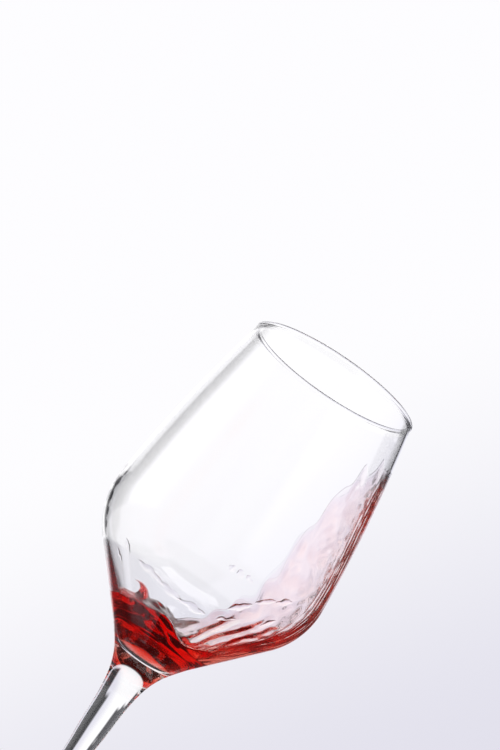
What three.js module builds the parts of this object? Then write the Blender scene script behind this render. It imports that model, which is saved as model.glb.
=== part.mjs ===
// A stemmed glass with a little red wine in it, caught as it swirls. The glass stands upright on its foot.
// The wine fills the bottom of the bowl, and a thin sheet of it climbs the wall on the +X side.
// Millimetres, +Z up, with the origin in the middle of the foot's underside.
import * as THREE from "three";
import { ParametricGeometry } from "three/addons/geometries/ParametricGeometry.js";

// Heights above the table
const RIM_TOP = 240;
const SHOULDER_TOP = 163;
const STEM_WAIST = 40;
const BOWL_FLOOR = 111.3;

// The foot: a thin flat disc with a rounded edge, whose top rises into the stem
const FOOT_RADIUS = 40;
const FOOT_EDGE = 0.9;

// The stem's outline above its waist, as radius and height, up to where the bowl's cone begins
const STEM_RADIUS = 4;
const STEM_OUTLINE = [
  [STEM_RADIUS, STEM_WAIST],
  [4.7, 67],
  [5.6, 80],
  [6.3, 92.5],
  [7.9, 101.5],
  [11, 108.6],
  [16.5, 116],
];

// The bowl: a cone, a rounded shoulder, and a wall that leans in to the rim
const SHOULDER_RADIUS = 46;
const SHOULDER_LEAN = 0.07;
const SHOULDER_ROUNDING = 31.6;
const CONE_SLOPE = 0.92;
const WALL_BELLY_HEIGHT = 199;
const WALL_TOP_RADIUS = 35.7;
const LIP_RADIUS = 0.85;

// The wall's thickness under the lip, at the shoulder, and half way down the cone
const THIN_WALL = 1.2;
const SHOULDER_WALL = 1.4;
const INNER_CONE_POINT = [35.7, 139];
const INNER_CONE_SLOPE = 1.059;
const INNER_ROUNDING = 31;

// The wine: a pool, and a sheet that climbs the wall
const WALL_GAP = 0.3;
const POOL_LEVEL = 126.5;
const POOL_SWELL = 3.2;
const FILM = 0.8;
const RUN = 2.6;
const RUN_AT_CONE = 3;
const RUN_SPREAD = 26;
const BACK_SHARE = 0.94;

// The wetted part of the wall, with the bowl laid out flat round the middle of its floor. Its outline is given
// round a place up the +X side, as degrees from straight up the wall and millimetres.
const WET_MIDDLE = 60;
const WET_OUTLINE = [
  [0, 71],
  [20, 71.5],
  [40, 77],
  [63, 84.5],
  [80, 87.5],
  [96, 79],
  [110, 69],
  [125, 61],
  [140, 59.5],
  [150, 63],
  [160, 74.5],
  [170, 84],
  [180, 87],
];

// The waves on the pool: place, reach and height of each
const WAVES = [
  [-12, -5, 8, 2],
  [-12.5, -7, 3.2, 2.6],
  [-4, 7, 8, 2],
  [-2, -22, 7, 1],
  [10, -17, 8, -3.6],
  [14, 2, 8, -2.4],
];

// Facets: steps round the glass, and round and along the wine
const GLASS_STEPS = 54;
const WINE_ROUND_STEPS = 72;
const WINE_WALL_STEPS = 13;
const WINE_TOP_STEPS = 22;

const GLASS_COLOUR = 0xf4f6fa;
const WINE_COLOUR = 0x6e0d14;

const point = (radius, height) => new THREE.Vector2(radius, height);

// Points along a curve, without its first
function along(curve, steps) {
  return curve.getPoints(steps).slice(1);
}

// An arc of the given radius that rounds the corner between two straight stretches
function rounding(before, corner, after, radius) {
  const back = before.clone().sub(corner).normalize();
  const on = after.clone().sub(corner).normalize();
  const half = Math.acos(back.dot(on)) / 2;
  const reach = radius / Math.tan(half);
  const start = corner.clone().addScaledVector(back, reach);
  const end = corner.clone().addScaledVector(on, reach);
  const centre = back.clone().add(on).setLength(radius / Math.sin(half)).add(corner);
  const angle = (p) => Math.atan2(p.y - centre.y, p.x - centre.x);
  const clockwise = back.cross(on) > 0;
  const curve = new THREE.EllipseCurve(
    centre.x, centre.y, radius, radius, angle(start), angle(end), clockwise,
  );
  return { start, end, curve };
}

// Where a cone through a point meets the straight line that touches the wall at the shoulder
function shoulderCorner(coneRadius, coneHeight, slope, wallRadius) {
  const rise =
    (wallRadius + SHOULDER_LEAN * (SHOULDER_TOP - coneHeight) - coneRadius) /
    (slope + SHOULDER_LEAN);
  return point(coneRadius + slope * rise, coneHeight + rise);
}

// The wall from the shoulder to just under the lip, set in from the outside by a thickness at each end
function wallCurve(bottomInset, topInset) {
  const low = SHOULDER_RADIUS - bottomInset;
  const belly = low - SHOULDER_LEAN * (WALL_BELLY_HEIGHT - SHOULDER_TOP);
  return new THREE.QuadraticBezierCurve(
    point(low, SHOULDER_TOP),
    point(belly, WALL_BELLY_HEIGHT),
    point(WALL_TOP_RADIUS - topInset, RIM_TOP - 2 * LIP_RADIUS),
  );
}

// The inside of the bowl, from the middle of its floor up to the lip, as a path with its length known
function bowlInside() {
  const [coneRadius, coneHeight] = INNER_CONE_POINT;
  const corner = shoulderCorner(
    coneRadius, coneHeight, INNER_CONE_SLOPE, SHOULDER_RADIUS - SHOULDER_WALL,
  );
  const foot = point(coneRadius - INNER_CONE_SLOPE * (coneHeight - BOWL_FLOOR), BOWL_FLOOR);
  const wall = wallCurve(SHOULDER_WALL, THIN_WALL);
  const tilt = Math.atan(1 / INNER_CONE_SLOPE);
  const floorRadius = foot.x / Math.tan(tilt / 2);
  const floor = rounding(point(0, BOWL_FLOOR), foot, corner, floorRadius);
  const shoulder = rounding(foot, corner, wall.v0, INNER_ROUNDING);
  const path = new THREE.CurvePath();
  path.add(floor.curve);
  path.add(new THREE.LineCurve(floor.end, shoulder.start));
  path.add(shoulder.curve);
  path.add(new THREE.LineCurve(shoulder.end, wall.v0));
  path.add(wall);
  return path;
}

const inside = bowlInside();

// One blown and pulled piece: foot, stem and bowl, turned about the axis
function makeGlass() {
  const [coneRadius, coneHeight] = STEM_OUTLINE.at(-1);
  const corner = shoulderCorner(coneRadius, coneHeight, CONE_SLOPE, SHOULDER_RADIUS);
  const wall = wallCurve(0, 0);
  const shoulder = rounding(point(coneRadius, coneHeight), corner, wall.v0, SHOULDER_ROUNDING);
  const edgeTop = point(FOOT_RADIUS - FOOT_EDGE * 0.7, 2 * FOOT_EDGE);
  const lipCentre = point(WALL_TOP_RADIUS - THIN_WALL / 2, RIM_TOP - LIP_RADIUS);
  const [floorArc, cone, shoulderArc, , innerWall] = inside.curves;
  const down = (curve, steps) => curve.getPoints(steps).reverse().slice(1);
  const outline = [
    point(0, 0),
    point(FOOT_RADIUS / 2, 0),
    point(FOOT_RADIUS - FOOT_EDGE, 0),
    ...along(
      new THREE.EllipseCurve(
        FOOT_RADIUS - FOOT_EDGE, FOOT_EDGE, FOOT_EDGE, FOOT_EDGE, -Math.PI / 2, Math.PI / 4,
      ),
      3,
    ),
    ...along(
      new THREE.CubicBezierCurve(
        edgeTop, point(9, 4), point(STEM_RADIUS, 5.5), point(STEM_RADIUS, STEM_WAIST),
      ),
      8,
    ),
    ...along(new THREE.SplineCurve(STEM_OUTLINE.map(([r, z]) => point(r, z))), 9),
    ...along(shoulder.curve, 5).toSpliced(0, 0, shoulder.start),
    ...along(wall, 5),
    ...along(
      new THREE.EllipseCurve(
        lipCentre.x, lipCentre.y, LIP_RADIUS, LIP_RADIUS, -0.5, Math.PI + 0.5,
      ),
      7,
    ),
    innerWall.v2,
    ...down(innerWall, 5),
    ...down(shoulderArc, 5).toSpliced(0, 0, shoulderArc.getPoint(1)),
    ...down(floorArc, 4).toSpliced(0, 0, cone.v1),
  ];
  const glass = new THREE.Mesh(
    new THREE.LatheGeometry(outline, GLASS_STEPS).rotateX(Math.PI / 2),
    new THREE.MeshStandardMaterial({
      color: GLASS_COLOUR, roughness: 0.02, metalness: 0, transparent: true, opacity: 0.35,
    }),
  );
  glass.name = "glass";
  return glass;
}

// How far the wet outline lies from its middle in a direction
const wetOutline = new THREE.SplineCurve(WET_OUTLINE.map(([a, reach]) => point(a, reach)));
const wetPoints = wetOutline.getPoints(240);

function wetReach(turned) {
  const away = Math.min(180, Math.abs(THREE.MathUtils.radToDeg(turned)));
  const next = Math.max(1, wetPoints.findIndex((p) => p.x >= away));
  const [a, b] = [wetPoints[next - 1], wetPoints[next]];
  const reach = a.y + ((b.y - a.y) * (away - a.x)) / (b.x - a.x);
  const sideways = turned > 0 ? Math.sin(turned) ** 2 : 0;
  return reach * THREE.MathUtils.lerp(1, BACK_SHARE, sideways);
}

// A point on the wall as the wine touches it, held clear of the glass, from the way up the inside and the angle
const insideLength = inside.getLength();

function wetWall(climb, angle) {
  const share = climb / insideLength;
  const at = inside.getPointAt(share);
  const tangent = inside.getTangentAt(share);
  const radius = Math.max(0, at.x - tangent.y * WALL_GAP);
  return new THREE.Vector3(
    radius * Math.cos(angle), radius * Math.sin(angle), at.y + tangent.x * WALL_GAP,
  );
}

// The pool's height over a place: its level, the waves on it, and the swell where the sheet runs in
function poolHeight(x, y) {
  const swell = POOL_SWELL * THREE.MathUtils.smoothstep(x, 8, 28);
  return WAVES.reduce(
    (height, [wx, wy, reach, rise]) =>
      height + rise * Math.exp(-((x - wx) ** 2 + (y - wy) ** 2) / reach ** 2),
    POOL_LEVEL + swell,
  );
}

// How thick the sheet on the wall is: film everywhere, and a broad run down the +X side, thicker where it slows
function sheetThickness(climb, angle) {
  const away = THREE.MathUtils.radToDeg(angle) / RUN_SPREAD;
  const low = 1 - THREE.MathUtils.smoothstep(climb, 35, 75);
  return FILM + (RUN + RUN_AT_CONE * low) * Math.exp(-(away ** 2));
}

// The wine is worked out along rays from the middle of the bowl's air. Each ray meets the wine's free surface and
// then the wall. The free surface is the nearer of the pool and the sheet, which end at the wet outline.
function makeWine() {
  const eye = new THREE.Vector3(0, 0, SHOULDER_TOP - 3);
  const turn = WINE_WALL_STEPS / (WINE_WALL_STEPS + WINE_TOP_STEPS);
  const surface = (u, v, target) => {
    const round = 2 * Math.PI * (0.5 - v);
    const turned = round + 0.42 * Math.sin(round);
    const onWall = u <= turn;
    const out = onWall ? u / turn : (1 - u) / (1 - turn);
    const reach = out * wetReach(turned);
    const flatX = WET_MIDDLE + reach * Math.cos(turned);
    const flatY = reach * Math.sin(turned);
    const climb = Math.hypot(flatX, flatY);
    const angle = Math.atan2(flatY, flatX);
    const wall = wetWall(climb, angle);
    target.copy(wall);
    if (onWall) return;
    const ray = wall.clone().sub(eye);
    const thick = sheetThickness(climb, angle) * Math.sqrt(Math.max(0, 1 - out ** 6));
    let near = 1 - thick / ray.length();
    for (let pass = 0; pass < 8 && ray.z < 0; pass += 1) {
      const level = poolHeight(eye.x + ray.x * near, eye.y + ray.y * near);
      near = Math.min(near, (eye.z - level) / -ray.z);
    }
    target.copy(eye).addScaledVector(ray, near);
  };
  const wine = new THREE.Mesh(
    new ParametricGeometry(surface, WINE_WALL_STEPS + WINE_TOP_STEPS, WINE_ROUND_STEPS),
    new THREE.MeshStandardMaterial({
      color: WINE_COLOUR, roughness: 0.05, metalness: 0, transparent: true, opacity: 0.9,
    }),
  );
  wine.name = "wine";
  return wine;
}

const part = new THREE.Group();
part.add(makeGlass(), makeWine());

export default part;
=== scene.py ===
import math

import bpy
import numpy as np
from mathutils import Matrix, Vector


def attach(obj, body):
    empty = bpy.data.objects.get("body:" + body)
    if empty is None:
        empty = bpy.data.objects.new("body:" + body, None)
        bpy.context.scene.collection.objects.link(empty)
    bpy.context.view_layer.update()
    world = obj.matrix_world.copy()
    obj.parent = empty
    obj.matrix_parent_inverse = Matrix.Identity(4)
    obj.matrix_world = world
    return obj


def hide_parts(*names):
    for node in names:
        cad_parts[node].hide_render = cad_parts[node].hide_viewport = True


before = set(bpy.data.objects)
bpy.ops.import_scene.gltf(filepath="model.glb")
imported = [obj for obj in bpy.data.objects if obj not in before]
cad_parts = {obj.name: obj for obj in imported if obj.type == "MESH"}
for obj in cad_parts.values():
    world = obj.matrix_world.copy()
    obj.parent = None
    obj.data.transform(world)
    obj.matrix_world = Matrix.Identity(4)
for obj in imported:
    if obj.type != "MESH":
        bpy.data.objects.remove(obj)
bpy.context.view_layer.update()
scene = bpy.context.scene

# The camera
# It looks a little up at the bowl from in front, and is rolled over so that the upright glass
# leans in the picture as it does in the photograph. Lengths are in metres, angles in degrees.
CAMERA_PLACE = (0.0, -0.660, 0.0813)
CAMERA_PITCH = 12.01
CAMERA_YAW = 2.349
CAMERA_ROLL = 34.996
CAMERA_LENS = 84.54
CAMERA_SENSOR = 36.0
CAMERA_CLIP = (0.01, 50)

pitch, yaw, roll = (math.radians(a) for a in (CAMERA_PITCH, CAMERA_YAW, CAMERA_ROLL))
ahead = Vector((
    -math.sin(yaw) * math.cos(pitch), math.cos(yaw) * math.cos(pitch), math.sin(pitch),
))
level_right = Vector((math.cos(yaw), math.sin(yaw), 0))
level_up = level_right.cross(ahead)
picture_right = math.cos(roll) * level_right + math.sin(roll) * level_up
picture_up = math.cos(roll) * level_up - math.sin(roll) * level_right

camera = bpy.data.objects.new("camera", bpy.data.cameras.new("camera"))
scene.collection.objects.link(camera)
camera.matrix_world = Matrix((picture_right, picture_up, -ahead)).transposed().to_4x4()
camera.location = CAMERA_PLACE
camera.data.lens = CAMERA_LENS
camera.data.sensor_width = CAMERA_SENSOR
camera.data.clip_start, camera.data.clip_end = CAMERA_CLIP
scene.camera = camera

# The glass
# One piece of thin clear glass: a bowl, a drawn stem and a round foot. It is blown and pulled,
# so it is round about its axis, with a fire-polished lip and a faint waviness in the wall.
# Lengths are in millimetres from here on, and angles in degrees.
MM = 0.001
RIM_TOP = 240
SHOULDER_TOP = 163
STEM_WAIST = 40
BOWL_FLOOR = 111.3
FOOT_RADIUS = 40
FOOT_EDGE = 0.9
FOOT_SWEEP = (9, 4)
FOOT_TO_STEM = 5.5
STEM_RADIUS = 4
STEM_OUTLINE = [
    (STEM_RADIUS, STEM_WAIST), (4.7, 67), (5.6, 80), (6.3, 92.5), (7.9, 101.5), (11, 108.6),
    (16.5, 116),
]
SHOULDER_RADIUS = 46
SHOULDER_LEAN = 0.07
SHOULDER_ROUNDING = 31.6
CONE_SLOPE = 0.92
WALL_BELLY_HEIGHT = 199
WALL_TOP_RADIUS = 35.7
LIP_RADIUS = 0.85
LIP_OVERTURN = 0.5
THIN_WALL = 1.2
SHOULDER_WALL = 1.4
INNER_CONE_POINT = (35.7, 139)
INNER_CONE_SLOPE = 1.059
INNER_ROUNDING = 31
ROUND_STEPS = 192
FOOT_EDGE_STEPS, FOOT_STEPS, STEM_STEPS = 12, 48, 54
SHOULDER_STEPS, WALL_STEPS, LIP_STEPS, INSIDE_STEPS = 40, 36, 20, 60
SHARP_ABOVE = 70
GLASS_IOR = 1.5
POLISH_PATCHES = (0.45, 0.75)


def arc(centre, radius, start, end, steps):
    """Points on a circle about centre, from one angle to another, in radians."""
    angles = np.linspace(start, end, steps + 1)
    return np.stack([
        centre[0] + radius * np.cos(angles), centre[1] + radius * np.sin(angles),
    ], axis=1)


def rounding(before, corner, after, radius, steps):
    """The arc that touches the two straight lines meeting at corner: its centre lies on the
    line that halves them."""
    before, corner, after = (np.array(p, float) for p in (before, corner, after))
    back = (before - corner) / np.linalg.norm(before - corner)
    on = (after - corner) / np.linalg.norm(after - corner)
    half = math.acos(float(back @ on)) / 2
    middle = (back + on) / np.linalg.norm(back + on)
    centre = corner + middle * radius / math.sin(half)
    first = corner + back * radius / math.tan(half) - centre
    last = corner + on * radius / math.tan(half) - centre
    start = math.atan2(first[1], first[0])
    turn = math.remainder(math.atan2(last[1], last[0]) - start, 2 * math.pi)
    return arc(centre, radius, start, start + turn, steps)


def bezier(controls, steps):
    """A Bezier curve: its control points weighted by the binomial terms of the share along
    it."""
    t = np.linspace(0, 1, steps + 1)[:, None]
    n = len(controls) - 1
    return sum(
        math.comb(n, i) * t**i * (1 - t) ** (n - i) * np.array(c, float)
        for i, c in enumerate(controls)
    )


def through(points, steps):
    """A smooth curve through points: on each span a cubic whose end slopes are half the step
    between neighbours."""
    p = np.array(points, float)
    share = np.linspace(0, 1, steps + 1) * (len(p) - 1)
    i = np.minimum(share.astype(int), len(p) - 2)
    t = (share - i)[:, None]
    a, b, c, d = p[np.maximum(i - 1, 0)], p[i], p[i + 1], p[np.minimum(i + 2, len(p) - 1)]
    leaving, arriving = (c - a) / 2, (d - b) / 2
    cubic = 2 * b - 2 * c + leaving + arriving
    square = -3 * b + 3 * c - 2 * leaving - arriving
    return cubic * t**3 + square * t**2 + leaving * t + b


def shoulder_corner(radius, height, slope, wall_radius):
    """Where the cone through a point meets the line that touches the wall at the shoulder."""
    leaned = wall_radius + SHOULDER_LEAN * (SHOULDER_TOP - height)
    rise = (leaned - radius) / (slope + SHOULDER_LEAN)
    return radius + slope * rise, height + rise


def wall_controls(bottom_inset, top_inset):
    """Control points of the wall from the shoulder to the lip, set in from the outside by a
    thickness at each end."""
    low = SHOULDER_RADIUS - bottom_inset
    belly = low - SHOULDER_LEAN * (WALL_BELLY_HEIGHT - SHOULDER_TOP)
    top = WALL_TOP_RADIUS - top_inset, RIM_TOP - 2 * LIP_RADIUS
    return (low, SHOULDER_TOP), (belly, WALL_BELLY_HEIGHT), top


def bowl_inside():
    """The inside of the bowl from its floor to the lip: an arc, the cone, the shoulder's arc
    and the leaning wall."""
    radius, height = INNER_CONE_POINT
    wall = wall_controls(SHOULDER_WALL, THIN_WALL)
    corner = shoulder_corner(radius, height, INNER_CONE_SLOPE, SHOULDER_RADIUS - SHOULDER_WALL)
    foot = (radius - INNER_CONE_SLOPE * (height - BOWL_FLOOR), BOWL_FLOOR)
    floor_radius = foot[0] / math.tan(math.atan(1 / INNER_CONE_SLOPE) / 2)
    return np.concatenate([
        rounding((0, BOWL_FLOOR), foot, corner, floor_radius, INSIDE_STEPS),
        rounding(foot, corner, wall[0], INNER_ROUNDING, INSIDE_STEPS),
        bezier(wall, INSIDE_STEPS),
    ])


def glass_outline():
    """The glass's outline from the middle of its underside round the foot, stem, bowl and lip
    to the bowl's floor."""
    radius, height = STEM_OUTLINE[-1]
    wall = wall_controls(0, 0)
    corner = shoulder_corner(radius, height, CONE_SLOPE, SHOULDER_RADIUS)
    edge_middle = (FOOT_RADIUS - FOOT_EDGE, FOOT_EDGE)
    edge_top = (FOOT_RADIUS - FOOT_EDGE * 0.7, 2 * FOOT_EDGE)
    stem_foot = (STEM_RADIUS, FOOT_TO_STEM)
    lip = (WALL_TOP_RADIUS - THIN_WALL / 2, RIM_TOP - LIP_RADIUS)
    return np.concatenate([
        [(0, 0), (FOOT_RADIUS / 3, 0), (FOOT_RADIUS * 0.8, 0)],
        arc(edge_middle, FOOT_EDGE, -math.pi / 2, math.pi / 4, FOOT_EDGE_STEPS),
        bezier((edge_top, FOOT_SWEEP, stem_foot, STEM_OUTLINE[0]), FOOT_STEPS)[1:],
        through(STEM_OUTLINE, STEM_STEPS)[1:],
        rounding((radius, height), corner, wall[0], SHOULDER_ROUNDING, SHOULDER_STEPS),
        bezier(wall, WALL_STEPS)[1:],
        arc(lip, LIP_RADIUS, -LIP_OVERTURN, math.pi + LIP_OVERTURN, LIP_STEPS),
        bowl_inside()[::-2],
    ])


def closed_skin(name, *grids):
    """One mesh of closed skins, each from points on a grid: its columns run round and meet,
    and its first and last rows are one point each."""
    points, faces, count = [], [], 0
    for rows in grids:
        length, steps = rows.shape[:2]
        ring = np.arange(steps)
        after = (ring + 1) % steps
        first = 1 + steps * np.arange(length - 3)[:, None]
        quads = np.stack([
            first + ring, first + after, first + steps + after, first + steps + ring,
        ], axis=-1).reshape(-1, 4)
        last = 1 + steps * (length - 2)
        caps = np.concatenate([
            np.stack([np.zeros_like(ring), 1 + after, 1 + ring], axis=-1),
            np.stack([np.full_like(ring, last), last - steps + ring, last - steps + after], axis=-1),
        ])
        skin = np.concatenate([rows[0, :1], rows[1:-1].reshape(-1, 3), rows[-1, :1]])
        corners = skin[np.concatenate([quads[:, [0, 1, 2]], quads[:, [0, 2, 3]], caps])]
        volume = np.einsum("ij,ij->i", corners[:, 0], np.cross(corners[:, 1], corners[:, 2])).sum()
        way = 1 if volume > 0 else -1
        faces += (quads[:, ::way] + count).tolist() + (caps[:, ::way] + count).tolist()
        points.append(skin)
        count += len(skin)
    mesh = bpy.data.meshes.new(name)
    mesh.from_pydata(np.concatenate(points), [], faces)
    mesh.shade_smooth()
    mesh.set_sharp_from_angle(angle=math.radians(SHARP_ABOVE))
    piece = bpy.data.objects.new(name, mesh)
    scene.collection.objects.link(piece)
    return piece


def turned(outline, steps):
    """An outline of radius and height carried round the axis: (r cos a, r sin a, z) for each
    angle a."""
    angles = np.arange(steps) * 2 * math.pi / steps
    radius, height = outline[:, :1], outline[:, 1:]
    return np.stack([
        radius * np.cos(angles), radius * np.sin(angles), height + 0 * angles,
    ], axis=-1) * MM


class Link:
    """A value that a node gives out. An operator on it adds a Math node, so shader maths reads
    as an expression."""

    def __init__(self, tree, socket):
        self.tree, self.socket = tree, socket

    def math(self, operation, *others):
        node = self.tree.nodes.new("ShaderNodeMath")
        node.operation = operation
        for slot, value in zip(node.inputs, others):
            feed(self.tree, slot, value)
        return Link(self.tree, node.outputs[0])

    def __add__(self, other):
        return self.math("ADD", self, other)

    def __radd__(self, other):
        return self.math("ADD", other, self)

    def __sub__(self, other):
        return self.math("SUBTRACT", self, other)

    def __rsub__(self, other):
        return self.math("SUBTRACT", other, self)

    def __mul__(self, other):
        return self.math("MULTIPLY", self, other)

    def __rmul__(self, other):
        return self.math("MULTIPLY", other, self)

    def __truediv__(self, other):
        return self.math("DIVIDE", self, other)

    def step(self, low, high):
        """0 below low, 1 above high and smooth between."""
        node = self.tree.nodes.new("ShaderNodeMapRange")
        node.interpolation_type = "SMOOTHSTEP"
        for slot, value in zip(node.inputs, (self, low, high)):
            feed(self.tree, slot, value)
        return Link(self.tree, node.outputs[0])


def feed(tree, slot, value):
    """Gives a socket a link or a plain value."""
    if isinstance(value, Link):
        tree.links.new(value.socket, slot)
    else:
        slot.default_value = value


class Bench:
    """The node tree of one material or of the world, emptied."""

    def __init__(self, owner):
        owner.use_nodes = True
        self.tree = owner.node_tree
        self.tree.nodes.clear()

    def node(self, kind, settings=None, values=None, out=0):
        """One node of that type: its settings first, then the values or links of its sockets.
        It gives one output, or several where out names several."""
        made = self.tree.nodes.new("ShaderNode" + kind)
        for name, value in (settings or {}).items():
            setattr(made, name, value)
        for name, value in (values or {}).items():
            feed(self.tree, made.inputs[name], value)
        if isinstance(out, tuple):
            return [Link(self.tree, made.outputs[name]) for name in out]
        return Link(self.tree, made.outputs[out]) if made.outputs else None

    def mix(self, share, first, second):
        """A colour a share of the way from the first to the second: sockets 0, 6 and 7 of a
        Mix node for colours, and its third output."""
        return self.node("Mix", {"data_type": "RGBA"}, {0: share, 6: first, 7: second}, out=2)


def clear_material(name, ior, roughness, ripple, ripple_size, tint=None, volume=None):
    """Clear and polished: light bends through it, its polish varies a little, and its surface
    is faintly wavy. A tint is a colour and the heights between which it sets in, in metres.
    Where glass and wine touch, light passes with hardly a reflection."""
    material = bpy.data.materials.new(name)
    bench = Bench(material)
    place = bench.node("TexCoord", out="Object")
    patches = bench.node("TexNoise", values={
        "Vector": place, "Scale": 1 / (3 * ripple_size), "Detail": 3.0,
    })
    waves = bench.node("TexNoise", values={"Vector": place, "Scale": 1 / ripple_size, "Detail": 1.0})
    bump = bench.node("Bump", values={"Height": waves, "Strength": 1.0, "Distance": ripple})
    colour = (1, 1, 1, 1)
    if tint:
        film, heights = tint
        height = bench.node("SeparateXYZ", values={"Vector": place}, out="Z")
        colour = bench.mix(height.step(*heights), colour, (*film, 1))
    free = bench.node("BsdfPrincipled", values={
        "Base Color": colour,
        "Roughness": patches.step(*POLISH_PATCHES) * roughness,
        "IOR": ior,
        "Transmission Weight": 1.0,
        "Normal": bump,
    })
    touching = bench.node("BsdfPrincipled", values={
        "Base Color": (1, 1, 1, 1),
        "Roughness": 0.0,
        "IOR": ior,
        "Transmission Weight": 1.0,
        "Specular Tint": (0, 0, 0, 1),
    })
    wetted = bench.node("Attribute", {"attribute_name": "wetted"}, out="Fac")
    sockets = {"Surface": bench.node("MixShader", values={0: wetted, 1: free, 2: touching})}
    if volume:
        colour, density = volume
        sockets["Volume"] = bench.node("VolumeAbsorption", values={
            "Color": (*colour, 1), "Density": density,
        })
    bench.node("OutputMaterial", values=sockets)
    return material


glass = closed_skin("wine_glass", turned(glass_outline(), ROUND_STEPS))
glass.data.materials.append(clear_material(
    "blown_glass", ior=GLASS_IOR, roughness=0.02, ripple=0.00002, ripple_size=0.02,
))
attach(glass, "root")
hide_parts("glass")

# The wine
# Red wine, caught as it swirls: a rough pool in the bottom of the bowl, and a thin sheet that
# runs down the wall on the +X side. It wets the glass, so its outer face lies a hair inside
# the wall and leaves no air between.
INTO_WALL = 0.12
POOL_LEVEL = 126.5
POOL_SWELL = 3.2
SWELL_ALONG_X = (8, 28)
WAVES = [
    (-12, -5, 8, 1.6), (-4, 7, 8, 2.0), (-2, -22, 7, 1.0), (10, -17, 8, -3.6), (14, 2, 8, -2.4),
]
CHOP = 0.3
FINE_CHOP = 0.2
STIRRED_DEPTHS = (0.3, 5)
CRESTS = [
    (-13.2, -7, 1.1, 2.1, 4.0, 5.2, 5.0), (-5, -5, 4, 6, 5, 2.8, 0.8), (-1, 8, 3, 4, 5, 1.8, 1.0),
]
CREST_BEND = 0.05
CREST_DIP = 0.35
FILM = 0.16
FILM_AT_CONE = 0.22
STREAK = 0.8
THINNEST = 0.08
CONE_TO_WALL = (35, 75)
RUN = 1.2
RUN_AT_CONE = 4.0
RUN_SPREAD = (12, 21)
RIVULET = 0.32
RIVULET_STEP = 4.4
RIVULET_SPREAD = 27
RIVULET_SWAY, RIVULET_FORK = 1.3, 0.9
RIVULET_SHARE, RIVULET_VARIES = 0.7, 0.5
LUMPS, SMALL_LUMPS = 0.06, 0.035
HEAD = 1.3
HEAD_CLIMB = 117
HEAD_REACH = (9, 14)
FROTH = 0.4
EDGE_TAPER = 0.89
EDGE_ROOT = 0.08
SCALLOP = 1.8
SCALLOPED_FROM, SCALLOPED_TO = (30, 60), (140, 165)
BACK_SHARE = 0.94
WET_MIDDLE = 60
WET_OUTLINE = [
    (0, 71), (20, 71.5), (40, 77), (63, 84.5), (80, 87.5), (96, 79), (110, 69), (125, 61),
    (140, 59.5), (150, 63), (160, 74.5), (170, 84), (180, 87),
]
EYE_HEIGHT = SHOULDER_TOP - 3.0
WINE_ROUND_STEPS = 400
ROUND_CROWDING = 0.42
WINE_WALL_STEPS = 48
WINE_TOP_STEPS = 198
SETTLING_ROUNDS = 12
WETTED_BEYOND = 0.05
HALF_WALL = 0.6
WINE_IOR = 1.345
WINE_COLOUR = (0.95, 0.27, 0.12)
WINE_DENSITY = 240
FILM_TINT = (1.0, 0.955, 1.0)
FILM_ABOVE = (0.1275, 0.133)

inside = bowl_inside()
lengths = np.concatenate([[0], np.cumsum(np.linalg.norm(np.diff(inside, axis=0), axis=1))])
wet_outline = through(WET_OUTLINE, 240)


def smooth_step(value, low, high):
    """0 below low, 1 above high and 3t squared less 2t cubed between."""
    t = np.clip((value - low) / (high - low), 0, 1)
    return t * t * (3 - 2 * t)


def ripples(x, y, size, seed, waves=28):
    """Rough water: a sum of cosines that run in random directions, with wavelengths from 0.6
    to 1.4 of size, divided so that its mean square is one."""
    draw = np.random.default_rng(seed)
    total = 0
    for way, phase, stretch in zip(*draw.random((3, waves))):
        k = 2 * np.pi / (size * (0.6 + 0.8 * stretch))
        run = x * np.cos(2 * np.pi * way) + y * np.sin(2 * np.pi * way)
        total = total + np.cos(k * run + 2 * np.pi * phase)
    return total * math.sqrt(2 / waves)


def on_wall(climb, angle, inward):
    """A point a way up the inside of the bowl, measured along it, and moved off the wall by a
    distance inward, square to the step from half a millimetre below it to as much above."""
    radius, height = (np.interp(climb, lengths, line) for line in inside.T)
    ahead_r, ahead_z = (
        np.interp(climb + 0.5, lengths, line) - np.interp(climb - 0.5, lengths, line)
        for line in inside.T
    )
    size = np.hypot(ahead_r, ahead_z)
    radius = np.maximum(0, radius - ahead_z / size * inward)
    height = height + ahead_r / size * inward
    return np.stack([radius * np.cos(angle), radius * np.sin(angle), height], axis=-1)


def wet_reach(turned_by):
    """How far the wet outline lies from its middle in a direction: a little less at the back,
    and scalloped along its sides."""
    off_top = np.abs(np.degrees(turned_by))
    reach = np.interp(off_top, wet_outline[:, 0], wet_outline[:, 1])
    at_back = np.where(turned_by > 0, np.sin(turned_by) ** 2, 0)
    at_side = smooth_step(off_top, *SCALLOPED_FROM) * (1 - smooth_step(off_top, *SCALLOPED_TO))
    scallops = ripples(75 * np.cos(turned_by), 75 * np.sin(turned_by), size=17, seed=8) * at_side
    return reach * (1 + (BACK_SHARE - 1) * at_back) + SCALLOP * scallops


def pool_height(x, y):
    """The pool's level, with a swell where the sheet runs in, and a bell-shaped wave or hollow
    at each place: its rise times e to the minus squared distance over squared reach."""
    height = POOL_LEVEL + POOL_SWELL * smooth_step(x, *SWELL_ALONG_X)
    for wave_x, wave_y, reach, rise in WAVES:
        height = height + rise * np.exp(-((x - wave_x) ** 2 + (y - wave_y) ** 2) / reach**2)
    return height


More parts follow.
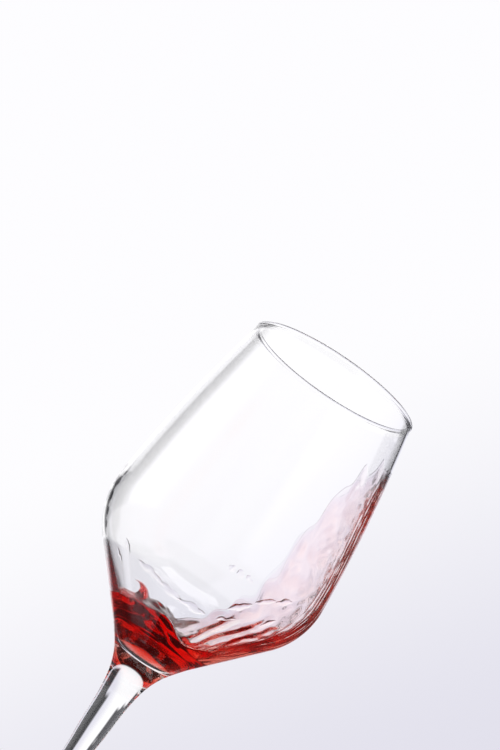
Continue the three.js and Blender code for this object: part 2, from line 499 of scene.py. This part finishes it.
def stirred(points, depth):
    """Moves points of the pool's surface, fully where the wine is deep: chop moves them up and
    down, and each crest is a bell, steep in front, whose top leans over towards -X and bends
    down."""
    x, y, z = np.moveaxis(points, -1, 0)
    deep = smooth_step(depth, *STIRRED_DEPTHS)
    chop = ripples(x, y, size=14, seed=4) + FINE_CHOP * ripples(x, y, size=6, seed=5)
    moved_x, moved_z = x, z + deep * CHOP * chop
    for crest_x, crest_y, front, back, length, rise, lean in CRESTS:
        away_x, away_y = x - crest_x - CREST_BEND * (y - crest_y) ** 2, y - crest_y
        width = np.where(away_x < 0, front, back)
        bell = np.exp(-((away_x / width) ** 2) - (away_y / length) ** 2)
        moved_x = moved_x - deep * lean * bell**3
        moved_z = moved_z + deep * rise * (bell - CREST_DIP * bell**6)
    return np.stack([moved_x, y, moved_z], axis=-1)


def sheet_thickness(climb, angle):
    """Film everywhere, and a run down the +X side that is thicker and wider where it slows on
    the cone: a bell across the angle. Narrow rivulets lie side by side in it, as the fourth
    power of a raised cosine, streaks run down the cone, and the top heaps into a frothy
    head."""
    around = np.degrees(angle)
    at_cone = 1 - smooth_step(climb, *CONE_TO_WALL)
    spread = RUN_SPREAD[0] + (RUN_SPREAD[1] - RUN_SPREAD[0]) * at_cone
    run = (RUN + RUN_AT_CONE * at_cone) * np.exp(-((around / spread) ** 2))
    lane = (
        around + RIVULET_SWAY * ripples(climb, around * 0.4, size=38, seed=1)
        + RIVULET_FORK * ripples(around, climb * 0.03, size=10, seed=9)
    )
    varied = RIVULET_SHARE + RIVULET_VARIES * ripples(climb * 0.5, around, size=9, seed=2)
    ridge = (0.5 + 0.5 * np.cos(2 * np.pi * lane / RIVULET_STEP)) ** 4 * varied
    ridge = RIVULET * ridge * np.exp(-((around / RIVULET_SPREAD) ** 4))
    lumps = (
        LUMPS * ripples(climb, around * 0.7, size=15, seed=3)
        + SMALL_LUMPS * ripples(climb, around * 0.7, size=5, seed=6)
    )
    head = np.exp(-(((climb - HEAD_CLIMB) / HEAD_REACH[0]) ** 2) - (around / HEAD_REACH[1]) ** 2)
    head = head * (HEAD + FROTH * ripples(climb, around * 0.7, size=4.5, seed=7))
    streaks = 1 + STREAK * ripples(climb * 0.35, around * 0.6, size=7, seed=13)
    streaks = FILM_AT_CONE * at_cone * streaks
    return np.maximum(THINNEST, FILM + run + ridge + lumps + head + streaks)


def wine_rows():
    """Rays from the middle of the bowl's air meet the free surface and then the wall. The free
    surface is the nearer of the pool and the sheet, and both meet the wall at the wet
    outline."""
    eye = np.array([0, 0, EYE_HEIGHT])
    round_by = 2 * np.pi * (0.5 - np.arange(WINE_ROUND_STEPS) / WINE_ROUND_STEPS)
    turned_by = (round_by + ROUND_CROWDING * np.sin(round_by))[None, :]
    out = np.concatenate([
        np.linspace(0, 1, WINE_WALL_STEPS + 1), np.linspace(1, 0, WINE_TOP_STEPS + 1)[1:],
    ])[:, None]
    reach = out * wet_reach(turned_by)
    flat_x = WET_MIDDLE + reach * np.cos(turned_by)
    flat_y = reach * np.sin(turned_by)
    climb, angle = np.hypot(flat_x, flat_y), np.arctan2(flat_y, flat_x)
    thin = 1 - smooth_step(out, EDGE_TAPER, 1)
    wall = on_wall(climb, angle, 0)
    ray = wall - eye
    distance = np.linalg.norm(ray, axis=-1)
    near = 1 - (sheet_thickness(climb, angle) * thin - (1 - thin) * EDGE_ROOT) / distance
    for _ in range(SETTLING_ROUNDS):
        level = pool_height(ray[..., 0] * near, ray[..., 1] * near)
        meets = (eye[2] - level) / np.maximum(1e-6, -ray[..., 2])
        near = np.where(ray[..., 2] < 0, np.minimum(near, meets), near)
    free = eye + ray * near[..., None]
    free = stirred(free, (1 - near) * distance)
    under = on_wall(climb, angle, -INTO_WALL)
    is_wall = (np.arange(out.size) <= WINE_WALL_STEPS)[:, None, None]
    return np.where(is_wall, under, free) * MM


def beyond_wall(mesh):
    """For the middle of each face: how far it lies outside the inner wall, and whether wine
    wets the wall there."""
    middles = np.empty(3 * len(mesh.polygons))
    mesh.polygons.foreach_get("center", middles)
    x, y, z = middles.reshape(-1, 3).T / MM
    climb = np.interp(z, inside[:, 1], lengths)
    angle = np.arctan2(y, x)
    off_x, off_y = climb * np.cos(angle) - WET_MIDDLE, climb * np.sin(angle)
    is_wet = np.hypot(off_x, off_y) < wet_reach(np.arctan2(off_y, off_x))
    outside = np.hypot(x, y) - np.interp(z, inside[:, 1], inside[:, 0])
    return outside, is_wet & (z > BOWL_FLOOR - 0.2)


def mark_wetted(piece, is_wetted):
    """Notes on each face whether glass and wine touch there."""
    notes = piece.data.attributes.new("wetted", "FLOAT", "FACE")
    notes.data.foreach_set("value", is_wetted.astype(np.float32))


wine = closed_skin("red_wine", wine_rows())
outside, _ = beyond_wall(wine.data)
mark_wetted(wine, outside > WETTED_BEYOND)
outside, is_wet = beyond_wall(glass.data)
mark_wetted(glass, (np.abs(outside) < HALF_WALL) & is_wet)
wine.data.materials.append(clear_material(
    "red_wine", ior=WINE_IOR, roughness=0.01, ripple=0.00003, ripple_size=0.004,
    tint=(FILM_TINT, FILM_ABOVE), volume=(WINE_COLOUR, WINE_DENSITY),
))
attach(wine, "root")
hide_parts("wine")

# The trails
# Small runs and beads of wine that the swirl left on the bare wall. They cling to the glass,
# and are thin enough to be almost clear. Each has its ends in X and Z, its half width and how
# far it stands off the wall.
TRAILS = [
    (-44.4, 166, -44.4, 162.5, 2.4, 0.6), (-44.3, 161, -44.1, 157, 2.8, 0.7),
    (-43.8, 155, -43.2, 151.5, 2.2, 0.6), (-42.6, 149.5, -41.6, 146.5, 1.6, 0.5),
    (-41.0, 145, -39.6, 142.4, 1.2, 0.4), (-29.6, 138.2, -24.6, 134.4, 1.0, 0.22),
    (-28.4, 141.8, -24.2, 137.8, 1.2, 0.14), (-20.5, 137.6, -7.7, 134.9, 1.6, 0.12),
    (-9.4, 135.4, 0.3, 133.9, 1.5, 0.12), (-1.6, 134.0, 9.8, 134.9, 1.5, 0.14),
    (7.0, 152.4, 9.8, 151.7, 1.2, 0.18), (10.6, 153.0, 13.4, 151.4, 1.3, 0.18),
    (14.0, 153.2, 17.2, 152.1, 1.1, 0.18), (15.2, 140.6, 21.5, 146.6, 1.6, 0.36),
    (21.8, 147.6, 27.6, 152.4, 1.3, 0.3), (27.8, 152.0, 32.8, 155.8, 1.2, 0.3),
    (13.6, 135.8, 19.6, 139.8, 1.2, 0.34), (28.0, 142.9, 31.6, 147.6, 1.1, 0.3),
]
TRAIL_ROOT = 0.04
TRAIL_SOFTNESS = 2.5
TRAIL_BLUNTNESS = 0.7
TRAIL_WOBBLE = 0.02
TRAIL_BEADING = 0.15
TRAIL_TINT = (0.99, 0.96, 0.98)
TRAIL_TINT_ABOVE = (-1, 0)
TRAIL_WETTED_BEYOND = 0.002
TRAIL_STEPS = 40
TRAIL_SIDES = 20


def trail(x_start, z_start, x_end, z_end, half_width, thickness):
    """A bead laid along a wavy line on the front of the wall: across it, a low swell that
    rises inwards as a power of a sine and reaches a hair into the glass, and along it, as wide
    and high as a power of a half sine."""
    share = np.linspace(0, 1, TRAIL_STEPS + 1)[:, None]
    wobble = ripples(share * 9 + x_start, share * 0 + z_start, size=4, seed=11)
    wobble = TRAIL_WOBBLE * (x_end - x_start) * wobble * np.sin(np.pi * share)
    x = x_start + (x_end - x_start) * share
    z = z_start + (z_end - z_start) * share + wobble
    climb = np.interp(z, inside[:, 1], lengths)
    radius = np.interp(climb, lengths, inside[:, 0])
    angle = -np.arccos(np.clip(x / radius, -1, 1))
    along = np.gradient(climb[:, 0]), np.gradient(angle[:, 0]) * radius[:, 0]
    size = np.hypot(*along)
    round_by = 2 * np.pi * np.arange(TRAIL_SIDES)[None, :] / TRAIL_SIDES
    beads = 1 + TRAIL_BEADING * ripples(share * 9, share * 0 + x_start, size=6, seed=12)
    taper = np.sin(np.pi * share) ** TRAIL_BLUNTNESS * beads
    off = half_width * taper * np.cos(round_by)
    rise = np.sin(round_by)
    swell = thickness * taper * np.abs(rise) ** TRAIL_SOFTNESS
    return on_wall(
        climb + off * (along[1] / size)[:, None],
        angle - off * (along[0] / size)[:, None] / radius,
        np.where(rise > 0, swell, TRAIL_ROOT * rise),
    ) * MM


trails = closed_skin("wine_trails", *(trail(*place) for place in TRAILS))
trails.data.materials.append(clear_material(
    "thin_wine", ior=WINE_IOR, roughness=0.01, ripple=0.00002, ripple_size=0.004,
    tint=(TRAIL_TINT, TRAIL_TINT_ABOVE),
))
outside, _ = beyond_wall(trails.data)
mark_wetted(trails, outside > TRAIL_WETTED_BEYOND)
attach(trails, "root")

# The table and the light
# A pale table that melts into a pale room, lit by a broad soft lamp above. Dark boards stand
# outside the picture, and the glass's edges show because they bend light in from them. Each
# board has a compass direction, a half width, and the sines of the heights where it ends.
# Lengths are in metres.
FLOOR_RADIUS = 1.6
FLOOR_SIDES = 96
FLOOR_DROP = 0.0002
FLOOR_FADE = (0.25, 1.1)
FLOOR_COLOUR = (0.86, 0.86, 0.88)
ROOM_PALE = (0.985, 0.98, 1.0)
ROOM_SHADE = (0.76, 0.75, 0.84)
SHADE_TOWARDS = (0.35, -0.95)
SHADE_FALL = (0.0, 0.26)
BOARDS = [
    (54, 13, 0.45, 0.55), (67, 10, 0.1, 0.16),
    (121, 9, 0.08, 0.12), (139, 17, 0.13, 0.19), (147, 11, 0.35, 0.45),
]
BOARD_FOOT = (-0.25, -0.15)
BOARD_COLOUR = (0.04, 0.04, 0.044)
OVERHEAD = (0.62, 0.72)
UNDERNEATH = [(85, 38, 0.19, 0.3), (255, 40, 0.55, 0.65)]
UNDERNEATH_END = (0.92, 0.97)
STRAIGHT_DOWN = 0.6
FRONT = (245, 45, 0.1, 0.3)
THROUGH_GLASS = 1.07
LAMP_PLACE = (0, 0, 1.5)
LAMP_SIZE = 1.6
LAMP_POWER = 24

world = bpy.data.worlds.new("studio")
scene.world = world
bench = Bench(world)
look = bench.node("TexCoord", out="Generated")
look_x, look_y, look_z = bench.node("SeparateXYZ", values={"Vector": look}, out=("X", "Y", "Z"))
down = 0 - look_z
level = look_x * look_x + look_y * look_y
across = level.math("SQRT", level)


def side(middle, half, soft=3):
    """1 for directions on that side: the cosine of the angle from its middle, stepped at its
    half width."""
    middle = math.radians(middle)
    toward = (look_x * math.cos(middle) + look_y * math.sin(middle)) / across
    outer, inner = (math.cos(math.radians(a)) for a in (min(180, half + soft), half - soft))
    return toward.step(outer, inner)


dark = look_z.step(*OVERHEAD)
for middle, half, *top in BOARDS:
    dark = dark + side(middle, half) * (1 - look_z.step(*top)) * look_z.step(*BOARD_FOOT)
for middle, half, *depth in UNDERNEATH:
    lighter_below = 1 - STRAIGHT_DOWN * down.step(*UNDERNEATH_END)
    dark = dark + side(middle, half, soft=6) * down.step(*depth) * lighter_below
seen, mirrored = bench.node("LightPath", out=("Is Camera Ray", "Is Reflection Ray"))
middle, half, *depth = FRONT
dark = dark + mirrored * (side(middle, half, soft=8) + down.step(*depth))
hidden = (1 - seen) * dark.math("MINIMUM", dark, 1.0)

shade_way = SHADE_TOWARDS[0] * picture_right + SHADE_TOWARDS[1] * picture_up
fall = look_x * shade_way.x + look_y * shade_way.y + look_z * shade_way.z
room = bench.mix(fall.step(*SHADE_FALL), (*ROOM_PALE, 1), (*ROOM_SHADE, 1))
bench.node("OutputWorld", values={"Surface": bench.node("Background", values={
    "Color": bench.mix(hidden, room, (*BOARD_COLOUR, 1)),
    "Strength": seen + (1 - seen) * THROUGH_GLASS,
})})

round_by = np.arange(FLOOR_SIDES) * 2 * math.pi / FLOOR_SIDES
floor_points = np.stack([
    FLOOR_RADIUS * np.cos(round_by), FLOOR_RADIUS * np.sin(round_by), 0 * round_by - FLOOR_DROP,
], axis=1)
floor_mesh = bpy.data.meshes.new("table")
floor_mesh.from_pydata(floor_points, [], [list(range(FLOOR_SIDES))])
floor = bpy.data.objects.new("table", floor_mesh)
scene.collection.objects.link(floor)
floor_material = bpy.data.materials.new("table")
bench = Bench(floor_material)
place = bench.node("TexCoord", out="Object")
reach = bench.node("VectorMath", {"operation": "LENGTH"}, {"Vector": place}, out="Value")
paint = bench.node("BsdfPrincipled", values={
    "Base Color": (*FLOOR_COLOUR, 1), "Roughness": 0.6, "Specular IOR Level": 0.2,
})
open_air = bench.node("BsdfTransparent")
blend = bench.node("MixShader", values={0: reach.step(*FLOOR_FADE), 1: paint, 2: open_air})
bench.node("OutputMaterial", values={"Surface": blend})
floor_mesh.materials.append(floor_material)
floor.visible_glossy = False
floor.visible_transmission = False

lamp = bpy.data.objects.new("lamp", bpy.data.lights.new("lamp", "AREA"))
lamp.data.size = LAMP_SIZE
lamp.data.energy = LAMP_POWER
lamp.location = LAMP_PLACE
lamp.visible_transmission = False
lamp.visible_camera = False
scene.collection.objects.link(lamp)

scene.view_settings.view_transform = "Standard"
scene.cycles.max_bounces = 40
scene.cycles.glossy_bounces = 32
scene.cycles.transmission_bounces = 32
